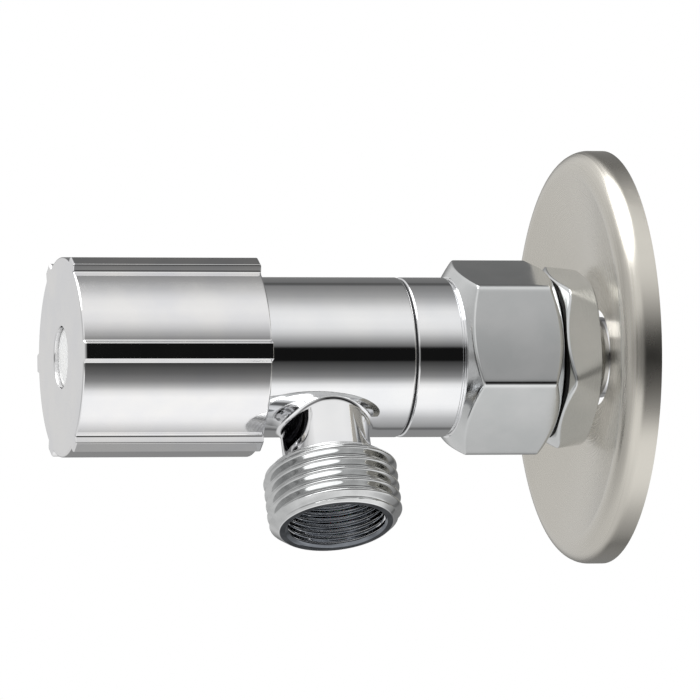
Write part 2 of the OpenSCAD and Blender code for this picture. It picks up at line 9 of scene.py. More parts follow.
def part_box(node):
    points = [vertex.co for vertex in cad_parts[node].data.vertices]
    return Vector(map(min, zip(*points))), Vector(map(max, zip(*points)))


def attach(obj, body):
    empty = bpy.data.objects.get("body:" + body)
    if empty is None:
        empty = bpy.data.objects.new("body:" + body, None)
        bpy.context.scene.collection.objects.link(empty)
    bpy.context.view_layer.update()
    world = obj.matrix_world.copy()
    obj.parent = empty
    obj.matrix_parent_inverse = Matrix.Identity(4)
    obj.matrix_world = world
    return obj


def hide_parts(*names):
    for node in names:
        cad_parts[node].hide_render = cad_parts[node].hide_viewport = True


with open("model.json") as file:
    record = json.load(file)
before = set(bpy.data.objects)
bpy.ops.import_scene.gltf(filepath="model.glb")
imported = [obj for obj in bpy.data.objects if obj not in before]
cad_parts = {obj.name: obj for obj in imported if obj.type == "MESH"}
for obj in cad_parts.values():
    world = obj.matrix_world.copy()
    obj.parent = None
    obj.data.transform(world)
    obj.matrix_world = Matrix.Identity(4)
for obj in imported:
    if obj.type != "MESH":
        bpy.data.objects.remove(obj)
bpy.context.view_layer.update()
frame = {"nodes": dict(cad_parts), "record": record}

# Angle stop valve. Its axis is X: the wall is at x = 0 and the knob is at -X. A turned shape
# is drawn with stations, which are distances from the wall plane, and radii, both in mm.
MM = 0.001
ROUND_TURN = 2 * math.pi


def wall_end(node):
    """Station of the end of a node that is nearer the wall."""
    return -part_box(node)[1].x / MM


def knob_end(node):
    """Station of the end of a node that is nearer the knob."""
    return -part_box(node)[0].x / MM


def top_radius(node):
    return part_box(node)[1].z / MM


def mount(name):
    return next(m for m in frame["record"]["mounts"] if m["name"] == name)


# Places and radii that the frame gives
PARTING = wall_end("swivel_washer")
BODY_START = knob_end("swivel_washer")
BODY_END = knob_end("valve_body")
BARREL_R = top_radius("valve_body")
TUBE_R = mount("inlet_tube")["dims"]["r_mm"]
WATERWAY_R = mount("inlet_bore")["dims"]["r_mm"]
GLAND_START = wall_end("gland_nut")
GLAND_END = knob_end("gland_nut")
CONNECTOR_START = wall_end("inlet_connector")
SPIGOT_END = knob_end("inlet_connector")
OLIVE_MIDDLE = (wall_end("olive") + knob_end("olive")) / 2
OUTLET_AXIS = -mount("outlet_thread")["pos_m"][0] / MM
OUTLET_REACH = -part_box("valve_body")[0].z / MM
OUTLET_THREAD_R = mount("outlet_thread")["dims"]["r_mm"]
OUTLET_BORE_R = mount("outlet_bore")["dims"]["r_mm"]
HANDLE_LIP = wall_end("handle")
HANDLE_FACE = knob_end("handle")

# Gaps, turns and radii that the pieces share, in mm and radians
HEX_GAP = 0.25
HEX_TURN = math.radians(18)
RIB_TURN = math.radians(7)
CONNECTOR_FLAT_R = BARREL_R + 1.25
SPIGOT_R = BARREL_R - 2.6
SOCKET_R = SPIGOT_R + 0.05
HEX_INSIDE_R = 10.5  # between the hexagons' bores and their faces
FINE = 0.12  # longest gap between points on a slope that is milled
NECK_R = 6.9
NECK_BORE_R = 4.5


# ---------------------------------------------------------------- nodes

def linear(hex_code):
    """Linear RGBA of an sRGB hex colour."""
    parts = [int(hex_code[i:i + 2], 16) / 255 for i in (1, 3, 5)]
    return [c / 12.92 if c <= 0.04045 else ((c + 0.055) / 1.055) ** 2.4 for c in parts] + [1.0]


def add(tree, kind, inputs=(), **settings):
    """Adds a node with its settings, and gives its inputs their values or links."""
    node = tree.nodes.new(kind)
    for key, value in settings.items():
        setattr(node, key, value)
    for key, value in dict(inputs).items():
        if isinstance(value, bpy.types.Node):
            value = value.outputs[0]
        if isinstance(value, bpy.types.NodeSocket):
            tree.links.new(value, node.inputs[key])
        else:
            node.inputs[key].default_value = value
    return node


def compute(tree, operation, *values):
    """Adds a math node that works on these values or links."""
    return add(tree, "ShaderNodeMath", dict(enumerate(values)), operation=operation)


def length(tree, x=0.0, y=0.0, z=0.0):
    """Adds nodes for the length of a vector, and gives the socket that holds it."""
    vector = add(tree, "ShaderNodeCombineXYZ", {0: x, 1: y, 2: z})
    return add(tree, "ShaderNodeVectorMath", {0: vector}, operation="LENGTH").outputs["Value"]


def set_stops(ramp, stops):
    """Gives a colour ramp its stops, as pairs of place and linear colour."""
    elements = ramp.color_ramp.elements
    while len(elements) < len(stops):
        elements.new(1)
    for element, (place, colour) in zip(elements, stops):
        element.position = place
        element.color = colour


# ---------------------------------------------------------------- materials

def new_material(name):
    """An empty node material, with its tree and its Object coordinates."""
    material = bpy.data.materials.new(name)
    material.use_nodes = True
    material.node_tree.nodes.clear()
    place = add(material.node_tree, "ShaderNodeTexCoord").outputs["Object"]
    return material, material.node_tree, place


def grains(tree, place, size_mm, detail):
    """Noise with grains of a size in mm."""
    scale = 1 / (size_mm * MM)
    return add(tree, "ShaderNodeTexNoise", {"Vector": place, "Scale": scale, "Detail": detail})


def tool_lines(tree, distance, size_mm):
    """Noise that changes only with a distance, with lines of a width in mm."""
    return add(tree, "ShaderNodeTexNoise", {"W": distance, "Scale": 1 / (size_mm * MM)},
               noise_dimensions="1D")


def tints(tree, pattern, *stops):
    """Colours along a pattern, as pairs of place and sRGB hex code."""
    ramp = add(tree, "ShaderNodeValToRGB", {0: pattern})
    set_stops(ramp, [(place, linear(code)) for place, code in stops])
    return ramp


def ranged(tree, pattern, low, high, start=0.3, end=0.7):
    """Values from low to high, while the pattern goes from start to end."""
    return add(tree, "ShaderNodeMapRange", {0: pattern, 1: start, 2: end, 3: low, 4: high})


def bumps(tree, height, strength, depth_mm):
    return add(tree, "ShaderNodeBump", {
        "Strength": strength, "Distance": depth_mm * MM, "Height": height})


def shade(material, inputs, shader="ShaderNodeBsdfPrincipled"):
    """Ends a material in a shader with these inputs."""
    surface = add(material.node_tree, shader, inputs)
    add(material.node_tree, "ShaderNodeOutputMaterial", {"Surface": surface})
    return material


def chrome_plate():
    """Bright chromium on polished brass: a mirror, with faint polishing waves and haze."""
    material, tree, place = new_material("bright_chrome_plate")
    haze = grains(tree, place, 9, 3)
    waves = grains(tree, place, 3.5, 1)
    return shade(material, {
        "Base Color": tints(tree, haze, (0.35, "#EDEEF0"), (0.65, "#F4F4F4")),
        "Metallic": 1.0,
        "Roughness": ranged(tree, haze, 0.035, 0.07),
        "Normal": bumps(tree, waves, 0.12, 0.01)})


def knob_chrome():
    """Chrome on a die-cast zinc knob: a little softer and less flat than on turned brass."""
    material, tree, place = new_material("knob_chrome")
    haze = grains(tree, place, 7, 3)
    waves = grains(tree, place, 5, 1)
    return shade(material, {
        "Base Color": tints(tree, haze, (0.35, "#ECECEE"), (0.65, "#F3F2F1")),
        "Metallic": 1.0,
        "Roughness": ranged(tree, haze, 0.05, 0.1),
        "Normal": bumps(tree, waves, 0.15, 0.012)})


def ground_chrome():
    """Chrome over ground flats: greyer than the polished barrel, with a soft short grain."""
    material, tree, place = new_material("ground_chrome_flats")
    haze = grains(tree, place, 6, 4)
    grain = grains(tree, place, 2.5, 2)
    return shade(material, {
        "Base Color": tints(tree, haze, (0.35, "#D6D8D8"), (0.65, "#DEDFDF")),
        "Metallic": 1.0,
        "Roughness": ranged(tree, haze, 0.11, 0.16),
        "Normal": bumps(tree, grain, 0.1, 0.01)})


def thread_chrome():
    """Chrome over a cut thread: the plate is thin there, so it is greyer than on the barrel."""
    material, tree, place = new_material("chrome_on_cut_thread")
    stain = grains(tree, place, 2.5, 4)
    return shade(material, {
        "Base Color": tints(tree, stain, (0.35, "#C6C7C7"), (0.65, "#D6D7D7")),
        "Metallic": 1.0,
        "Roughness": ranged(tree, stain, 0.05, 0.12),
        "Normal": bumps(tree, stain, 0.2, 0.01)})


def bore_plate_painted_shade():
    """Thin, dull plate in the outlet's bore, with fine tool lines; its dark bluish grey is also
    painted shade for the deep bore.
    """
    material, tree, place = new_material("plated_bore_painted_shade")
    down = add(tree, "ShaderNodeSeparateXYZ", {0: place}).outputs[2]
    lines = tool_lines(tree, down, 0.12)
    stain = grains(tree, place, 3, 4)
    return shade(material, {
        "Base Color": tints(tree, stain, (0.35, "#70747A"), (0.65, "#888C92")),
        "Metallic": 1.0,
        "Roughness": ranged(tree, stain, 0.1, 0.2),
        "Normal": bumps(tree, lines, 0.1, 0.01)})


def cast_zinc_painted_shade():
    """Inside of the die-cast knob, where the chrome hardly reaches: rough zinc, darkened further as
    painted shade for the hollow.
    """
    material, tree, place = new_material("cast_zinc_with_painted_shade")
    grain = grains(tree, place, 0.8, 5)
    return shade(material, {
        "Base Color": tints(tree, grain, (0.3, "#3A3A3C"), (0.7, "#56565A")),
        "Metallic": 0.8,
        "Roughness": ranged(tree, grain, 0.45, 0.65),
        "Normal": bumps(tree, grain, 0.4, 0.03)})


def satin_nickel_sheet():
    """Spun sheet with a satin nickel finish: rings of fine brushing about the axis."""
    material, tree, place = new_material("satin_nickel_sheet")
    split = add(tree, "ShaderNodeSeparateXYZ", {0: place}).outputs
    radius = length(tree, y=split[1], z=split[2])
    rings = tool_lines(tree, radius, 0.25)
    patches = grains(tree, place, 12, 3)
    mixed = compute(tree, "MULTIPLY", rings, patches)
    return shade(material, {
        "Base Color": tints(tree, mixed, (0.1, "#D3CFC6"), (0.4, "#DDD9D0")),
        "Metallic": 1.0,
        "Roughness": ranged(tree, mixed, 0.2, 0.32, start=0.12, end=0.4),
        "Normal": bumps(tree, rings, 0.12, 0.01)})


def bare_brass():
    """Free-cutting brass as it leaves the lathe: fine tool lines along it, slightly tarnished."""
    material, tree, place = new_material("turned_brass")
    along = add(tree, "ShaderNodeSeparateXYZ", {0: place}).outputs[0]
    lines = tool_lines(tree, along, 0.2)
    tarnish = grains(tree, place, 4, 4)
    return shade(material, {
        "Base Color": tints(tree, tarnish, (0.35, "#C9A35A"), (0.65, "#DDBB74")),
        "Metallic": 1.0,
        "Roughness": ranged(tree, tarnish, 0.22, 0.38),
        "Normal": bumps(tree, lines, 0.3, 0.02)})


def gap_painted_shade():
    """Near-black painted shade for the faces in the narrow gap between the hexagons."""
    material, tree, place = new_material("painted_gap_shade")
    smear = grains(tree, place, 1.5, 4)
    return shade(material, {
        "Base Color": tints(tree, smear, (0.35, "#121110"), (0.7, "#2A2622")),
        "Metallic": 0.3,
        "Roughness": ranged(tree, smear, 0.3, 0.5)})


def spring_steel():
    """Hardened spring steel, oiled: dark grey with a fine drawn grain."""
    material, tree, place = new_material("oiled_spring_steel")
    grain = grains(tree, place, 0.6, 4)
    return shade(material, {
        "Base Color": tints(tree, grain, (0.35, "#8A8C90"), (0.65, "#A2A4A7")),
        "Metallic": 1.0,
        "Roughness": ranged(tree, grain, 0.28, 0.42),
        "Normal": bumps(tree, grain, 0.2, 0.01)})


def zinc_plated_steel():
    """Blue-white zinc plate on a steel screw: soft sparkle of small crystals."""
    material, tree, place = new_material("zinc_plated_steel")
    crystal_mm = 0.3
    crystals = add(tree, "ShaderNodeTexVoronoi", {
        "Vector": place, "Scale": 1 / (crystal_mm * MM)}).outputs["Distance"]
    return shade(material, {
        "Base Color": tints(tree, crystals, (0.1, "#B9BDC4"), (0.8, "#CDD0D4")),
        "Metallic": 1.0,
        "Roughness": ranged(tree, crystals, 0.25, 0.4, start=0.0, end=1.0)})


def button_plastic():
    """White moulded ABS button: glossy, with a very fine moulded grain."""
    material, tree, place = new_material("white_abs_button")
    grain = grains(tree, place, 1.5, 2)
    return shade(material, {
        "Base Color": tints(tree, grain, (0.3, "#F0F1F2"), (0.7, "#F7F7F6")),
        "Roughness": ranged(tree, grain, 0.25, 0.35),
        "IOR": 1.54,
        "Normal": bumps(tree, grain, 0.05, 0.01)})


def nitrile_rubber():
    """Black moulded nitrile: matt, with a dusty bloom."""
    material, tree, place = new_material("black_nitrile_rubber")
    bloom = grains(tree, place, 1.2, 5)
    return shade(material, {
        "Base Color": tints(tree, bloom, (0.3, "#17171A"), (0.7, "#26262A")),
        "Roughness": ranged(tree, bloom, 0.5, 0.7),
        "IOR": 1.52,
        "Normal": bumps(tree, bloom, 0.3, 0.02)})


def black_acetal():
    """Black acetal washer: waxy, smooth, with slight flow marks."""
    material, tree, place = new_material("black_acetal")
    flow = grains(tree, place, 2, 2)
    return shade(material, {
        "Base Color": tints(tree, flow, (0.3, "#101012"), (0.7, "#1B1B1E")),
        "Roughness": ranged(tree, flow, 0.35, 0.5),
        "IOR": 1.48})


def natural_acetal():
    """Natural acetal: milky white and waxy, a little see-through at thin edges."""
    material, tree, place = new_material("natural_acetal")
    flow = grains(tree, place, 2, 2)
    return shade(material, {
        "Base Color": tints(tree, flow, (0.3, "#E3E2D9"), (0.7, "#EEEDE6")),
        "Roughness": ranged(tree, flow, 0.35, 0.48),
        "IOR": 1.48,
        "Subsurface Weight": 0.2,
        "Subsurface Scale": 0.5 * MM})


def lapped_alumina():
    """Sintered alumina, lapped flat: cream white, dense and faintly speckled."""
    material, tree, place = new_material("lapped_alumina")
    specks = grains(tree, place, 0.3, 6)
    return shade(material, {
        "Base Color": tints(tree, specks, (0.3, "#E4E2D8"), (0.6, "#F2F0E8")),
        "Roughness": ranged(tree, specks, 0.15, 0.3),
        "IOR": 1.76})


# The slots' materials, then those that only some faces of a piece have
MATERIALS = {
    "chrome_plate": chrome_plate(),
    "knob_chrome": knob_chrome(),
    "satin_nickel_sheet": satin_nickel_sheet(),
    "button_plastic": button_plastic(),
    "bare_brass": bare_brass(),
    "spring_steel": spring_steel(),
    "zinc_plated_steel": zinc_plated_steel(),
    "nitrile_rubber": nitrile_rubber(),
    "black_acetal": black_acetal(),
    "acetal": natural_acetal(),
    "alumina": lapped_alumina(),
    "ground_chrome": ground_chrome(),
    "thread_chrome": thread_chrome(),
    "bore_plate_painted_shade": bore_plate_painted_shade(),
    "cast_zinc_painted_shade": cast_zinc_painted_shade(),
    "gap_painted_shade": gap_painted_shade(),
}


# ---------------------------------------------------------------- turned shapes

GUARD = 0.05  # distance in mm from a corner to the points that keep its shading crisp
ARC_STEP = math.radians(11)  # largest turn between points on a rounding


def outline(corners, closed=True):
    """Points of an outline with rounded corners.

    Each corner is (station, radius, rounding, step): rounding is the arc's radius, and step is
    the longest gap between points on the line that follows. The last two may be left out.
    """
    count = len(corners)
    stretches = []
    for i, corner in enumerate(corners):
        here = np.array(corner[:2], float)
        rounding = corner[2] if len(corner) > 2 else 0
        if rounding == 0:
            stretches.append([here])
            continue
        back = np.array(corners[i - 1][:2]) - here
        on = np.array(corners[(i + 1) % count][:2]) - here
        back = back / np.linalg.norm(back)
        on = on / np.linalg.norm(on)
        half = math.acos(np.clip(back @ on, -1, 1)) / 2
        middle = here + (back + on) / np.linalg.norm(back + on) * rounding / math.sin(half)
        first = here + back * rounding / math.tan(half) - middle
        last = here + on * rounding / math.tan(half) - middle
        start = math.atan2(first[1], first[0])
        turn = math.remainder(math.atan2(last[1], last[0]) - start, ROUND_TURN)
        steps = max(2, math.ceil(abs(turn) / ARC_STEP))
        stretches.append([
            middle + rounding * np.array((math.cos(a), math.sin(a)))
            for a in np.linspace(start, start + turn, steps + 1)])
    points = []
    for i, stretch in enumerate(stretches):
        points.extend(stretch)
        if not closed and i == count - 1:
            break
        step = corners[i][3] if len(corners[i]) > 3 else 2.0
        end = stretches[(i + 1) % count][0]
        gap = np.linalg.norm(end - stretch[-1])
        if gap < 3 * GUARD:
            continue
        inner = np.linspace(GUARD, gap - GUARD, max(2, math.ceil(gap / step) + 1))
        points.extend(stretch[-1] + (end - stretch[-1]) * (inner / gap)[:, None])
    return np.array(points)


def skin(name, rows, material, closed=True):
    """Closed mesh over rows of points in metres, each row a ring. An open stack ends in points."""
    count, columns = rows.shape[:2]
    index = np.arange(count * columns).reshape(count, columns)
    across = np.roll(index, -1, axis=1)
    if closed:
        below, below_across = np.roll(index, -1, axis=0), np.roll(across, -1, axis=0)
    else:
        below, below_across = index[1:], across[1:]
        index, across = index[:-1], across[:-1]
    faces = np.stack([index, below, below_across, across], axis=-1).reshape(-1, 4)
    points = rows.reshape(-1, 3)
    a, b, c, d = (points[faces[:, k]] for k in range(4))
    volume = np.einsum("ij,ij->i", a, np.cross(b, c) + np.cross(c, d)).sum()
    if volume < 0:
        faces = faces[:, ::-1]
    mesh = bpy.data.meshes.new(name)
    mesh.from_pydata(points.tolist(), [], faces.tolist())
    mesh.materials.append(MATERIALS[material])
    piece = bpy.data.objects.new(name, mesh)
    bpy.context.scene.collection.objects.link(piece)
    return piece


def turned_rows(points, angles):
    """Rings of an outline turned about the valve's axis; angles run from the top towards +Y."""
    station, radius = points[:, :1], points[:, 1:]
    x = -station + 0 * angles
    return np.stack([x, radius * np.sin(angles), radius * np.cos(angles)], axis=-1) * MM


def even_angles(count):
    return np.linspace(0, ROUND_TURN, count, endpoint=False)


def run_tree(piece, tree, marks, amounts, inputs):
    """Runs a geometry tree on a piece and keeps the result as its own mesh.

    The tree reads its marks from the attribute of that name, with one amount for each ring.
    """
    columns = len(piece.data.vertices) // len(amounts)
    attribute = piece.data.attributes.new(marks, "FLOAT", "POINT")
    attribute.data.foreach_set("value", np.repeat(np.asarray(amounts, np.float32), columns))
    modifier = piece.modifiers.new(tree.name, "NODES")
    modifier.node_group = tree
    for item in tree.interface.items_tree:
        if item.name in inputs:
            modifier[item.identifier] = inputs[item.name]
    graph = bpy.context.evaluated_depsgraph_get()
    mesh = bpy.data.meshes.new_from_object(
        piece.evaluated_get(graph), preserve_all_data_layers=True, depsgraph=graph)
    piece.modifiers.remove(modifier)
    mesh.attributes.remove(mesh.attributes[marks])
    piece.data = mesh


def round_valve(x, y, z):
    """Station on the valve's axis and distance from that axis, for places in mm."""
    return -x, np.hypot(y, z)


def round_outlet(x, y, z):
    """Distance down from the valve's axis and out from the outlet's axis, for places in mm."""
    return -z, np.hypot(x + OUTLET_AXIS, y)


def paint(piece, material, wanted, place=round_valve):
    """Gives a second material to the faces whose centres pass a test of their place."""
    mesh = piece.data
    centres = np.empty(3 * len(mesh.polygons), np.float32)
    mesh.polygons.foreach_get("center", centres)
    chosen = wanted(*place(*(centres.reshape(-1, 3).T / MM)))
    mesh.materials.append(MATERIALS[material])
    slots = np.empty(len(mesh.polygons), np.int32)
    mesh.polygons.foreach_get("material_index", slots)
    slots[chosen] = len(mesh.materials) - 1
    mesh.polygons.foreach_set("material_index", slots)


def merge_poles(piece):
    """Joins the points that meet on the axis."""
    shape = bmesh.new()
    shape.from_mesh(piece.data)
    bmesh.ops.remove_doubles(shape, verts=shape.verts, dist=1e-7)
    shape.to_mesh(piece.data)
    shape.free()


def combine(piece, other, operation):
    """Joins another solid to a piece, or cuts it away."""
    modifier = piece.modifiers.new(operation, "BOOLEAN")
    modifier.operation = operation
    modifier.solver = "EXACT"
    modifier.object = other
    graph = bpy.context.evaluated_depsgraph_get()
    mesh = bpy.data.meshes.new_from_object(piece.evaluated_get(graph), depsgraph=graph)
    piece.modifiers.remove(modifier)
    piece.data = mesh
    bpy.data.objects.remove(other)


def finish_piece(piece, body, slot, *nodes):
    """Smooths a finished piece, hides the nodes that it stands for and gives it its body; the slot is
    not used.
    """
    piece.data.shade_smooth()
    piece.data.set_sharp_from_angle(angle=math.radians(40))
    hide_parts(*nodes)
    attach(piece, body)


# ---------------------------------------------------------------- geometry trees

def new_tree(name, numbers):
    """An empty geometry tree with a geometry input, named number inputs and a material input."""
    tree = bpy.data.node_groups.new(name, "GeometryNodeTree")
    tree.interface.new_socket("Geometry", in_out="INPUT", socket_type="NodeSocketGeometry")
    for number in numbers:
        tree.interface.new_socket(number, in_out="INPUT", socket_type="NodeSocketFloat")
    tree.interface.new_socket("Material", in_out="INPUT", socket_type="NodeSocketMaterial")
    tree.interface.new_socket("Geometry", in_out="OUTPUT", socket_type="NodeSocketGeometry")
    return tree, add(tree, "NodeGroupInput").outputs


def end_tree(tree, inputs, shape):
    """Realizes the shape, gives it its material and sends it out."""
    real = add(tree, "GeometryNodeRealizeInstances", {"Geometry": shape})
    painted = add(tree, "GeometryNodeSetMaterial", {"Geometry": real, "Material": inputs["Material"]})
    add(tree, "NodeGroupOutput", {"Geometry": painted})
    return tree


def hexagon_tree():
    """Mills the marked points of a turned blank to a hexagon: soft corners, slightly full flats."""
    tree, inputs = new_tree("mill_hexagon", ["Flat Radius", "First Flat", "Crown", "Edge Softness"])
    sixth = ROUND_TURN / 6
    position = add(tree, "GeometryNodeInputPosition")
    split = add(tree, "ShaderNodeSeparateXYZ", {0: position}).outputs
    radius = length(tree, y=split[1], z=split[2])
    angle = compute(tree, "ARCTAN2", split[1], split[2])
    turned = compute(tree, "SUBTRACT", angle, inputs["First Flat"])
    turned = compute(tree, "WRAP", turned, sixth / 2, -sixth / 2)
    turned = compute(tree, "ABSOLUTE", turned)
    own_cos = compute(tree, "COSINE", turned)
    own = compute(tree, "DIVIDE", inputs["Flat Radius"], own_cos)
    off_middle = compute(tree, "DIVIDE", turned, sixth / 2)
    off_middle = compute(tree, "MULTIPLY", off_middle, off_middle)
    full = compute(tree, "SUBTRACT", 1.0, off_middle)
    own = compute(tree, "MULTIPLY_ADD", full, inputs["Crown"], own)
    beside = compute(tree, "SUBTRACT", sixth, turned)
    beside_cos = compute(tree, "COSINE", beside)
    other = compute(tree, "DIVIDE", inputs["Flat Radius"], beside_cos)
    flats = compute(tree, "SMOOTH_MIN", own, other, inputs["Edge Softness"])
    milled = compute(tree, "SMOOTH_MIN", radius, flats, inputs["Edge Softness"])
    share = compute(tree, "DIVIDE", milled, radius)
    scale = add(tree, "ShaderNodeCombineXYZ", {0: 1.0, 1: share, 2: share})
    place = add(tree, "ShaderNodeVectorMath", {0: position, 1: scale}, operation="MULTIPLY")
    marked = add(tree, "GeometryNodeInputNamedAttribute", {"Name": "milled"}, data_type="FLOAT")
    chosen = add(tree, "FunctionNodeCompare", {0: marked, 1: 0.5}, operation="GREATER_THAN")
    shape = add(tree, "GeometryNodeSetPosition", {
        "Geometry": inputs["Geometry"], "Selection": chosen, "Position": place})
    return end_tree(tree, inputs, shape)


def rib_tree():
    """Raises even ribs, with flat tops and coved flanks, out of the marked points of a blank."""
    tree, inputs = new_tree("raise_ribs", [
        "Rib Count", "First Rib", "Height", "Half Foot", "Flank Angle", "Cove Radius",
        "Edge Softness"])
    position = add(tree, "GeometryNodeInputPosition")
    split = add(tree, "ShaderNodeSeparateXYZ", {0: position}).outputs
    radius = length(tree, y=split[1], z=split[2])
    angle = compute(tree, "ARCTAN2", split[1], split[2])
    turned = compute(tree, "SUBTRACT", angle, inputs["First Rib"])
    half_pitch = compute(tree, "DIVIDE", math.pi, inputs["Rib Count"])
    less = compute(tree, "MULTIPLY", half_pitch, -1.0)
    turned = compute(tree, "WRAP", turned, half_pitch, less)
    sine = compute(tree, "SINE", turned)
    aside = compute(tree, "MULTIPLY", sine, radius)
    aside = compute(tree, "ABSOLUTE", aside)
    # distance in from the foot, split into the part on the cove and the part up the flank
    inward = compute(tree, "SUBTRACT", inputs["Half Foot"], aside)
    inward = compute(tree, "MAXIMUM", inward, 0.0)
    flank_sine = compute(tree, "SINE", inputs["Flank Angle"])
    cove_w = compute(tree, "MULTIPLY", inputs["Cove Radius"], flank_sine)
    on_cove = compute(tree, "MINIMUM", inward, cove_w)
    up_flank = compute(tree, "SUBTRACT", inward, on_cove)
    reach = compute(tree, "MULTIPLY", on_cove, on_cove)
    square = compute(tree, "MULTIPLY", inputs["Cove Radius"], inputs["Cove Radius"])
    drop = compute(tree, "SUBTRACT", square, reach)
    drop = compute(tree, "SQRT", drop)
    cove = compute(tree, "SUBTRACT", inputs["Cove Radius"], drop)
    slope = compute(tree, "TANGENT", inputs["Flank Angle"])
    rise = compute(tree, "MULTIPLY_ADD", up_flank, slope, cove)
    # the top is a plane square to the rib's middle
    top = compute(tree, "ADD", radius, inputs["Height"])
    cosine = compute(tree, "COSINE", turned)
    top = compute(tree, "DIVIDE", top, cosine)
    top = compute(tree, "SUBTRACT", top, radius)
    rise = compute(tree, "SMOOTH_MIN", rise, top, inputs["Edge Softness"])
    amount = add(tree, "GeometryNodeInputNamedAttribute", {"Name": "ribbed"}, data_type="FLOAT")
    rise = compute(tree, "MULTIPLY", rise, amount)
    share = compute(tree, "DIVIDE", rise, radius)
    share = compute(tree, "ADD", share, 1.0)
    scale = add(tree, "ShaderNodeCombineXYZ", {0: 1.0, 1: share, 2: share})
    place = add(tree, "ShaderNodeVectorMath", {0: position, 1: scale}, operation="MULTIPLY")
    shape = add(tree, "GeometryNodeSetPosition", {"Geometry": inputs["Geometry"], "Position": place})
    return end_tree(tree, inputs, shape)


def thread_tree():
    """Cuts a right-hand pipe thread, with round crests and roots, into the outlet's marked points.

    Side is 1 for an outside thread and -1 for an inside one.
    """
    tree, inputs = new_tree("cut_thread", ["Axis X", "Side", "Crest Radius", "Pitch", "Softness"])
    # heights of the sharp and the cut thread form, as shares of the pitch
    sharp_height = 0.960
    cut_height = 0.640
    run_out = 0.08 * MM
    position = add(tree, "GeometryNodeInputPosition")
    origin = add(tree, "ShaderNodeCombineXYZ", {0: inputs["Axis X"]})
    local = add(tree, "ShaderNodeVectorMath", {0: position, 1: origin}, operation="SUBTRACT")
    split = add(tree, "ShaderNodeSeparateXYZ", {0: local}).outputs
    radius = length(tree, x=split[0], y=split[1])
    mirrored = compute(tree, "MULTIPLY", split[1], -1.0)
    angle = compute(tree, "ARCTAN2", mirrored, split[0])
    turns = compute(tree, "DIVIDE", angle, ROUND_TURN)
    along = compute(tree, "DIVIDE", split[2], inputs["Pitch"])
    phase = compute(tree, "ADD", along, turns)
    wave = compute(tree, "PINGPONG", phase, 0.5)
    wave = compute(tree, "MULTIPLY", wave, 2 * sharp_height)
    crest_flat = (sharp_height - cut_height) / 2
    wave = compute(tree, "SUBTRACT", wave, crest_flat)
    wave = compute(tree, "SMOOTH_MAX", wave, 0.0, inputs["Softness"])
    wave = compute(tree, "SMOOTH_MIN", wave, cut_height, inputs["Softness"])
    depth = compute(tree, "MULTIPLY", wave, inputs["Pitch"])
    amount = add(tree, "GeometryNodeInputNamedAttribute", {"Name": "thread"}, data_type="FLOAT")
    depth = compute(tree, "MULTIPLY", depth, amount)
    crest = compute(tree, "MULTIPLY", inputs["Crest Radius"], inputs["Side"])
    cut = compute(tree, "SUBTRACT", crest, depth)
    blank = compute(tree, "MULTIPLY", radius, inputs["Side"])
    left = compute(tree, "SMOOTH_MIN", blank, cut, run_out)
    share = compute(tree, "DIVIDE", left, blank)
    scale = add(tree, "ShaderNodeCombineXYZ", {0: share, 1: share, 2: 1.0})
    scaled = add(tree, "ShaderNodeVectorMath", {0: local, 1: scale}, operation="MULTIPLY")
    place = add(tree, "ShaderNodeVectorMath", {0: scaled, 1: origin}, operation="ADD")
    barely = 0.001
    chosen = add(tree, "FunctionNodeCompare", {0: amount, 1: barely}, operation="GREATER_THAN")
    shape = add(tree, "GeometryNodeSetPosition", {
        "Geometry": inputs["Geometry"], "Selection": chosen, "Position": place})
    return end_tree(tree, inputs, shape)


MILL_HEXAGON = hexagon_tree()
RAISE_RIBS = rib_tree()
CUT_THREAD = thread_tree()


# ---------------------------------------------------------------- pieces on the inlet

def hexagon_angles():
    """Angles round a hexagon, closer together near its corners."""
    corner = np.arange(-30, -20, 0.5)
    flat = np.arange(-20, 20, 1.6)
    sixth = np.radians(np.concatenate([corner, flat, -corner[::-1]]))[:-1]
    return (HEX_TURN + sixth[None, :] + even_angles(6)[:, None]).ravel()


def mill(piece, points, first, last, flat_r):
    """Mills the outside between two stations to a hexagon, and gives it its ground finish."""
    slack = 0.001
    outside = (points[:, 0] >= first - slack) & (points[:, 0] <= last + slack)
    run_tree(piece, MILL_HEXAGON, "milled", outside & (points[:, 1] > HEX_INSIDE_R), {
        "Flat Radius": flat_r * MM, "First Flat": HEX_TURN, "Crown": 0.12 * MM,
        "Edge Softness": 0.7 * MM, "Material": MATERIALS["chrome_plate"]})
    paint(piece, "ground_chrome", lambda station, radius: (
        (station < last - 0.02) & (radius > HEX_INSIDE_R)))


